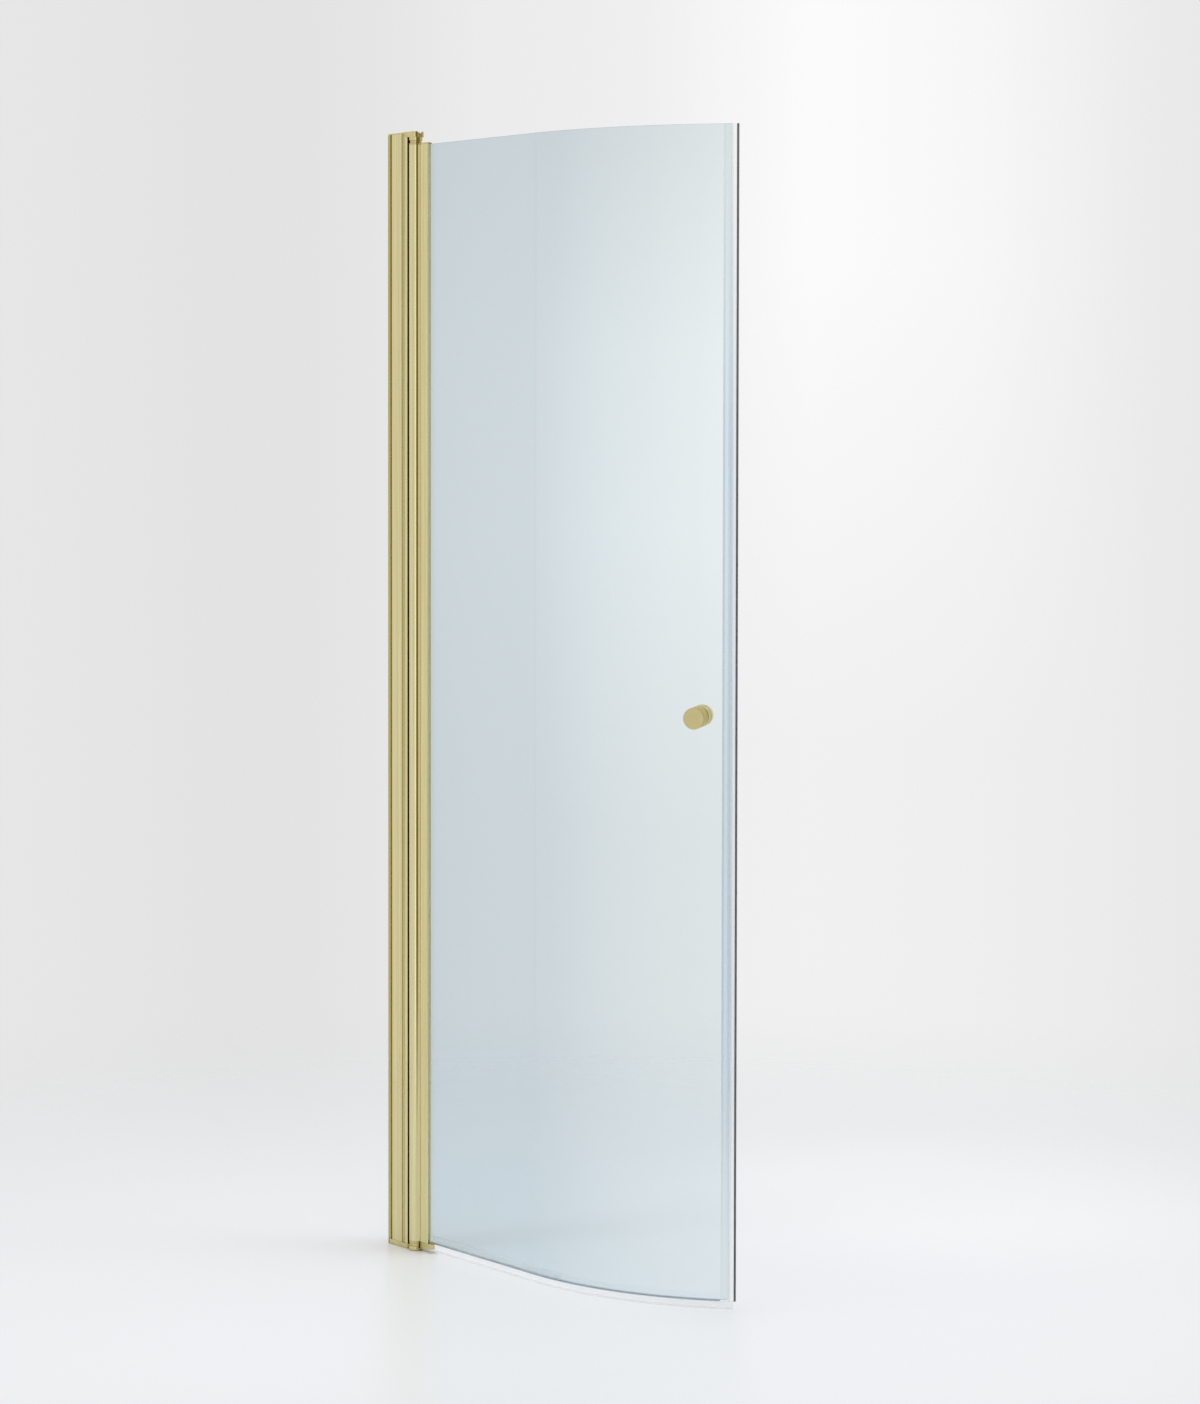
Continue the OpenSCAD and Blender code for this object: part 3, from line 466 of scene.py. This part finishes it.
def sheet_glass(name):
    """Clear bent sheet, ground at top and bottom, with painted light and shade by height, most in
    its bend.
    """
    made, tree = new_material(name)
    place = object_place(tree)
    parts = parts_of(tree, place)
    # Painted light and shade by height, which the straight part gets only in part.
    levels = [(share, (level, level, level, 1)) for share, level in SHEET_LIGHT_BY_HEIGHT]
    sheet_light = ramp(tree, span(tree, parts["Z"], 0.0, SHEET_TOP), levels)
    in_bend = span(tree, parts["X"], *BEND_START, STRAIGHT_LIGHT_SHARE, 1.0)
    tint = slanting_tint(tree, (0.85, 0.92, 0.94, 1), (0.61, 0.71, 0.77, 1))
    tint = mix_colour(tree, in_bend, tint, sheet_light, "MULTIPLY")
    skin = place_group(tree, cast_skin, Place=place, Grains_per_metre=GROUND_GRAINS)
    ground = principled(
        tree,
        Base_Color=mix_colour(tree, skin["Blotch"], (0.272, 0.40, 0.40, 1), (0.34, 0.50, 0.50, 1)),
        Roughness=span(tree, skin["Height"], 0.3, 0.7, 0.22, 0.38),
        IOR=GLASS_IOR,
    )
    upright = parts_of(tree, node(tree, "ShaderNodeNewGeometry").outputs["True Normal"])["Z"]
    level_edge = maths(tree, "GREATER_THAN", maths(tree, "ABSOLUTE", upright), LEVEL_FACE)
    body = clear_body(tree, tint, roughness=0.0, ior=GLASS_IOR)
    surface = mix_shader(tree, level_edge, body, ground)
    finish_material(tree, lamps_through(tree, surface, (0.97, 0.98, 0.985, 1)))
    return made


def clear_vinyl(name):
    """Clear soft vinyl, more strongly tinted at a slant."""
    made, tree = new_material(name)
    tint = slanting_tint(tree, (0.90, 0.93, 0.95, 1), (0.80, 0.85, 0.89, 1))
    body = clear_body(tree, tint, roughness=0.08, ior=VINYL_IOR)
    finish_material(tree, lamps_through(tree, body, (0.9, 0.92, 0.93, 1)))
    return made


def bottom_vinyl(name):
    """Seal of the glass's foot: faint legs, a base with painted shade for the glass's dark edge, a
    milky lip.
    """
    made, tree = new_material(name)
    place = object_place(tree)
    height = parts_of(tree, place)["Z"]
    base_low = GLASS_FOOT - SEAL_BASE
    lip = span(tree, height, base_low - 0.0001, base_low, 1.0, 0.0)
    legs = span(tree, height, GLASS_FOOT, GLASS_FOOT + 0.0003)
    tip = span(tree, height, *LIP_TIP, 1.0, 0.0)
    streak = noise(tree, stretched(tree, place, scale_z=60.0), scale=18.0)
    milk = mix_colour(tree, streak, (0.96, 0.97, 0.98, 1), (0.99, 0.99, 0.99, 1))
    # The base below the glass's foot is painted dark, as painted shade where the glass's edge looks
    # dark through the vinyl.
    clear = principled(
        tree,
        Base_Color=mix_colour(tree, legs, (0.30, 0.36, 0.43, 1), (0.97, 0.98, 0.99, 1)),
        Roughness=0.1,
        IOR=VINYL_IOR,
        Alpha=span(tree, legs, 0.0, 1.0, 0.9, 0.12),
        Transmission_Weight=1.0,
    )
    milky = principled(
        tree,
        Base_Color=mix_colour(tree, tip, milk, (0.86, 0.88, 0.90, 1)),
        Roughness=0.3,
        Alpha=span(tree, tip, 0.0, 1.0, 0.8, 0.45),
    )
    surface = mix_shader(tree, lip, clear, milky)
    finish_material(tree, lamps_through(tree, surface, (0.95, 0.96, 0.97, 1)))
    return made


def side_vinyl(name):
    """Seal of the glass's free edge, with painted shade where its jaws end and where the glass
    ends.
    """
    made, tree = new_material(name)
    place = object_place(tree)
    from_edge = vector_maths(tree, "SUBTRACT", place, GLASS_END)
    along = vector_maths(tree, "DOT_PRODUCT", from_edge, EDGE_ALONG)
    streak = noise(tree, stretched(tree, place, scale_z=0.02), scale=700.0)
    waver = maths(tree, "MULTIPLY", maths(tree, "SUBTRACT", streak, 0.5), BAND_WAVER)
    # Bands of painted light and shade across the clear seal, darkest where its jaws and the glass
    # end.
    bands = ramp(
        tree,
        span(tree, maths(tree, "ADD", along, waver), *SIDE_SHADE_BANDS),
        [
            (0.0, (0.84, 0.88, 0.91, 1)),
            (1.0, (0.88, 0.90, 0.91, 1)),
            (0.12, (0.78, 0.83, 0.87, 1)),
            (0.20, (0.90, 0.93, 0.95, 1)),
            (0.33, (0.90, 0.93, 0.95, 1)),
            (0.39, (0.83, 0.875, 0.91, 1)),
            (0.47, (0.80, 0.855, 0.90, 1)),
            (0.56, (0.74, 0.80, 0.855, 1)),
            (0.64, (0.83, 0.87, 0.90, 1)),
            (0.73, (0.91, 0.93, 0.94, 1)),
        ],
    )
    height = parts_of(tree, place)["Z"]
    from_middle = maths(tree, "ABSOLUTE", maths(tree, "SUBTRACT", height, SEAL_MIDDLE))
    near_end = span(tree, from_middle, *SEAL_PALER, 0.0, PALE_SHARE)
    tint = mix_colour(tree, near_end, bands, (0.98, 0.98, 0.975, 1))
    body = clear_body(tree, tint, roughness=0.08, ior=VINYL_IOR)
    finish_material(tree, lamps_through(tree, body, (0.88, 0.9, 0.91, 1)))
    return made


finishes = {
    "gold_profile": drawn_gold(
        "satin_gold", dark=(0.64, 0.57, 0.29, 1), light=(0.81, 0.74, 0.45, 1), roughness=0.17
    ),
    "strip": drawn_gold(
        "strip_gold", dark=(0.50, 0.43, 0.20, 1), light=(0.62, 0.55, 0.29, 1), roughness=0.24
    ),
    "gold_bracket": plated_gold(
        "plated_gold", dark=(0.57, 0.49, 0.22, 1), light=(0.72, 0.64, 0.34, 1), roughness=0.12
    ),
    "plug": plated_gold(
        "plug_gold", dark=(0.50, 0.42, 0.18, 1), light=(0.62, 0.54, 0.28, 1), roughness=0.25
    ),
    "knob": turned_gold("turned_gold", *KNOB_GOLD, roughness=0.27),
    "steel": plain_skin(
        "plain_steel",
        dark=(0.48, 0.49, 0.50, 1),
        light=(0.60, 0.61, 0.62, 1),
        roughness=0.3,
        metallic=1.0,
    ),
    "nylon": plain_skin(
        "natural_nylon", dark=(0.76, 0.74, 0.68, 1), light=(0.84, 0.82, 0.77, 1), roughness=0.5
    ),
    "gasket": plain_skin(
        "black_gasket",
        dark=(0.010, 0.006, 0.002, 1),
        light=(0.016, 0.010, 0.004, 1),
        roughness=0.6,
        gloss=0.1,
    ),
    "glazing": plain_skin(
        "grey_silicone", dark=(0.33, 0.32, 0.22, 1), light=(0.42, 0.41, 0.30, 1), roughness=0.4
    ),
    "glass": sheet_glass("clear_glass"),
    "clear_seal": clear_vinyl("clear_vinyl"),
    "magnet": plain_skin(
        "magnet_grey", dark=(0.045, 0.046, 0.05, 1), light=(0.07, 0.071, 0.075, 1), roughness=0.5
    ),
}

# Pieces whose finish differs from the others of their slot.
own_finishes = {
    # The wall channel's gold is darker than the profile's: painted shade for the groove beside the
    # wall.
    "wall_channel": drawn_gold(
        "channel_gold_painted_shade", dark=(0.47, 0.40, 0.12, 1), light=(0.60, 0.52, 0.21, 1), roughness=0.2
    ),
    "bottom_seal": bottom_vinyl("bottom_seal_vinyl"),
    "magnet_seal": side_vinyl("side_seal_vinyl"),
    # The inner knob is painted far paler than the outer knob's same gold, as painted light; its end
    # face keeps the outer tones.
    "inner_knob": turned_gold(
        "inner_knob_painted_light",
        dark=(0.78, 0.72, 0.48, 1),
        light=(0.88, 0.82, 0.58, 1),
        roughness=0.3,
        end_face=KNOB_GOLD,
    ),
}

slot_of_node = {s["node"]: s["material_slot"] for s in frame["record"]["subparts"]}


def dress(piece, finish):
    """Gives a piece one material, in every slot that it has."""
    if not piece.data.materials:
        piece.data.materials.append(finish)
    for slot in piece.material_slots:
        slot.link = "OBJECT"
        slot.material = finish


for name, piece in frame["nodes"].items():
    dress(piece, own_finishes.get(name, finishes[slot_of_node[name]]))


# Room: a pale floor with a painted patch of light, which fades out, and a plain background


def heading_stops(*stops):
    """Stops of a ramp round the horizon, from (degrees, level) or (degrees, level, warmth)."""
    made = []
    for degrees, level, *rest in stops:
        warmth = rest[0] if rest else 0.0
        colour = (level, level * (1 - 0.2 * warmth), level * (1 - 0.7 * warmth), 1)
        made.append(((degrees + 180) / 360, colour))
    return made


def background(tree, colour, strength=1.0):
    return node(tree, "ShaderNodeBackground", Color=colour, Strength=strength).outputs[0]


def build_world():
    """Plain backdrop for the camera and glass, and soft cards round the horizon for the metal."""
    world = bpy.data.worlds.new("pale_studio")
    world.use_nodes = True
    tree = world.node_tree
    tree.nodes.clear()
    way = parts_of(tree, node(tree, "ShaderNodeTexCoord").outputs["Generated"])
    heading = span(tree, maths(tree, "ARCTAN2", way[1], way[0]), -math.pi, math.pi)
    backdrop = ramp(
        tree,
        heading,
        heading_stops(
            (-180, 0.84),
            (180, 0.84),
            (118, 0.84),
            (129, 0.80),
            (133, 0.855),
            (136, 0.875),
            (138.5, 0.86),
            (142.6, 0.83),
            (143.8, 0.775),
            (146, 0.765),
            (149, 0.79),
            (160, 0.84),
        ),
    )
    # A soft pool of light lies high on the wall behind the free edge.
    pool = ramp(
        tree,
        heading,
        heading_stops(
            (-180, 0.0),
            (180, 0.0),
            (130.5, 0.0),
            (133.5, 0.07),
            (137.2, 0.1),
            (137.9, 0.045),
            (138.4, 0.02),
            (140, 0.0),
        ),
    )
    backdrop = mix_colour(tree, span(tree, way[2], *POOL_RISE), backdrop, pool, "ADD")
    # From the left of the camera: a pale wall, a bright card, a warm dark gap, a white wall behind.
    cards = ramp(
        tree,
        heading,
        heading_stops(
            (-180, 0.86),
            (180, 0.84),
            (-74, 0.86),
            (-66, 0.80),
            (-57, 0.9),
            (-53, 1.35),
            (-42, 1.35),
            (-34, 0.5, 0.6),
            (-20, 0.24, 1.0),
            (6, 0.22, 1.0),
            (32, 0.32, 0.9),
            (48, 0.64, 0.15),
            (75, 0.74),
            (129, 0.84),
        ),
    )
    ray = node(tree, "ShaderNodeLightPath").outputs
    straight = maths(tree, "MAXIMUM", ray["Is Camera Ray"], ray["Is Transmission Ray"])
    room_light = background(tree, ROOM_LIGHT, ROOM_STRENGTH)
    unseen = mix_shader(tree, ray["Is Glossy Ray"], room_light, background(tree, cards))
    surface = mix_shader(tree, straight, unseen, background(tree, backdrop))
    node(tree, "ShaderNodeOutputWorld", Surface=surface)
    bpy.context.scene.world = world


def pale_floor(name):
    """Pale floor that keeps the door's shadow, has a painted patch of light behind the free edge,
    and fades out.
    """
    made, tree = new_material(name)
    place = object_place(tree)
    far = span(tree, vector_maths(tree, "LENGTH", place), *FLOOR_FADE, interpolation="SMOOTHSTEP")
    # A painted patch of light on the floor behind the free edge.
    from_floor_light = vector_maths(tree, "DISTANCE", place, FLOOR_LIGHT_MIDDLE)
    floor_light_share = span(tree, from_floor_light, *FLOOR_LIGHT_FADE, interpolation="SMOOTHSTEP")
    tone = mix_colour(tree, floor_light_share, (0.845, 0.855, 0.87, 1), (0.91, 0.92, 0.93, 1))
    surface = principled(tree, Base_Color=tone, Roughness=0.34, IOR=1.4)
    gone = node(tree, "ShaderNodeBsdfTransparent").outputs[0]
    finish_material(tree, mix_shader(tree, far, surface, gone))
    return made


def build_floor():
    mesh = bpy.data.meshes.new("floor")
    disc = bmesh.new()
    bmesh.ops.create_circle(disc, cap_ends=True, segments=96, radius=FLOOR_R)
    disc.to_mesh(mesh)
    disc.free()
    floor = bpy.data.objects.new("floor", mesh)
    floor.location = FLOOR_AT
    bpy.context.scene.collection.objects.link(floor)
    mesh.materials.append(pale_floor("pale_floor"))


def softbox(name, at, aim, size, watts):
    """Oblong lamp that only lights, and shows neither itself nor its reflection."""
    lamp = bpy.data.lights.new(name, "AREA")
    lamp.shape, lamp.size, lamp.size_y = "RECTANGLE", size[0], size[1]
    lamp.energy = watts
    made = bpy.data.objects.new(name, lamp)
    made.location = at
    made.rotation_euler = (Vector(aim) - Vector(at)).to_track_quat("-Z", "Y").to_euler()
    made.visible_camera = False
    made.visible_glossy = False
    made.visible_transmission = False
    bpy.context.scene.collection.objects.link(made)


def build_camera():
    camera = bpy.data.cameras.new("photo_camera")
    camera.sensor_width = 36.0
    camera.lens = FOCAL_PIXELS / IMAGE_H * camera.sensor_width
    camera.shift_y = (CENTRE_ROW - IMAGE_H / 2) / IMAGE_H
    made = bpy.data.objects.new("photo_camera", camera)
    made.location = CAMERA_AT
    aim = LOOK_ALONG.to_track_quat("-Z", "Y") @ Quaternion((0.0, 0.0, 1.0), CAMERA_ROLL)
    made.rotation_euler = aim.to_euler()
    bpy.context.scene.collection.objects.link(made)
    bpy.context.scene.camera = made


build_world()
build_floor()
build_camera()
softbox("overhead", at=(0.7, 0.1, 3.3), aim=(0.45, 0.2, 0.0), size=(2.0, 2.0), watts=31)
softbox("left_front", at=(-0.8, -3.2, 2.0), aim=(0.3, 0.0, 0.7), size=(1.4, 2.2), watts=26)
softbox("right_rear", at=(2.6, 2.6, 2.2), aim=(0.4, 0.1, 1.0), size=(1.6, 2.2), watts=19)

bpy.context.scene.view_settings.view_transform = "Standard"
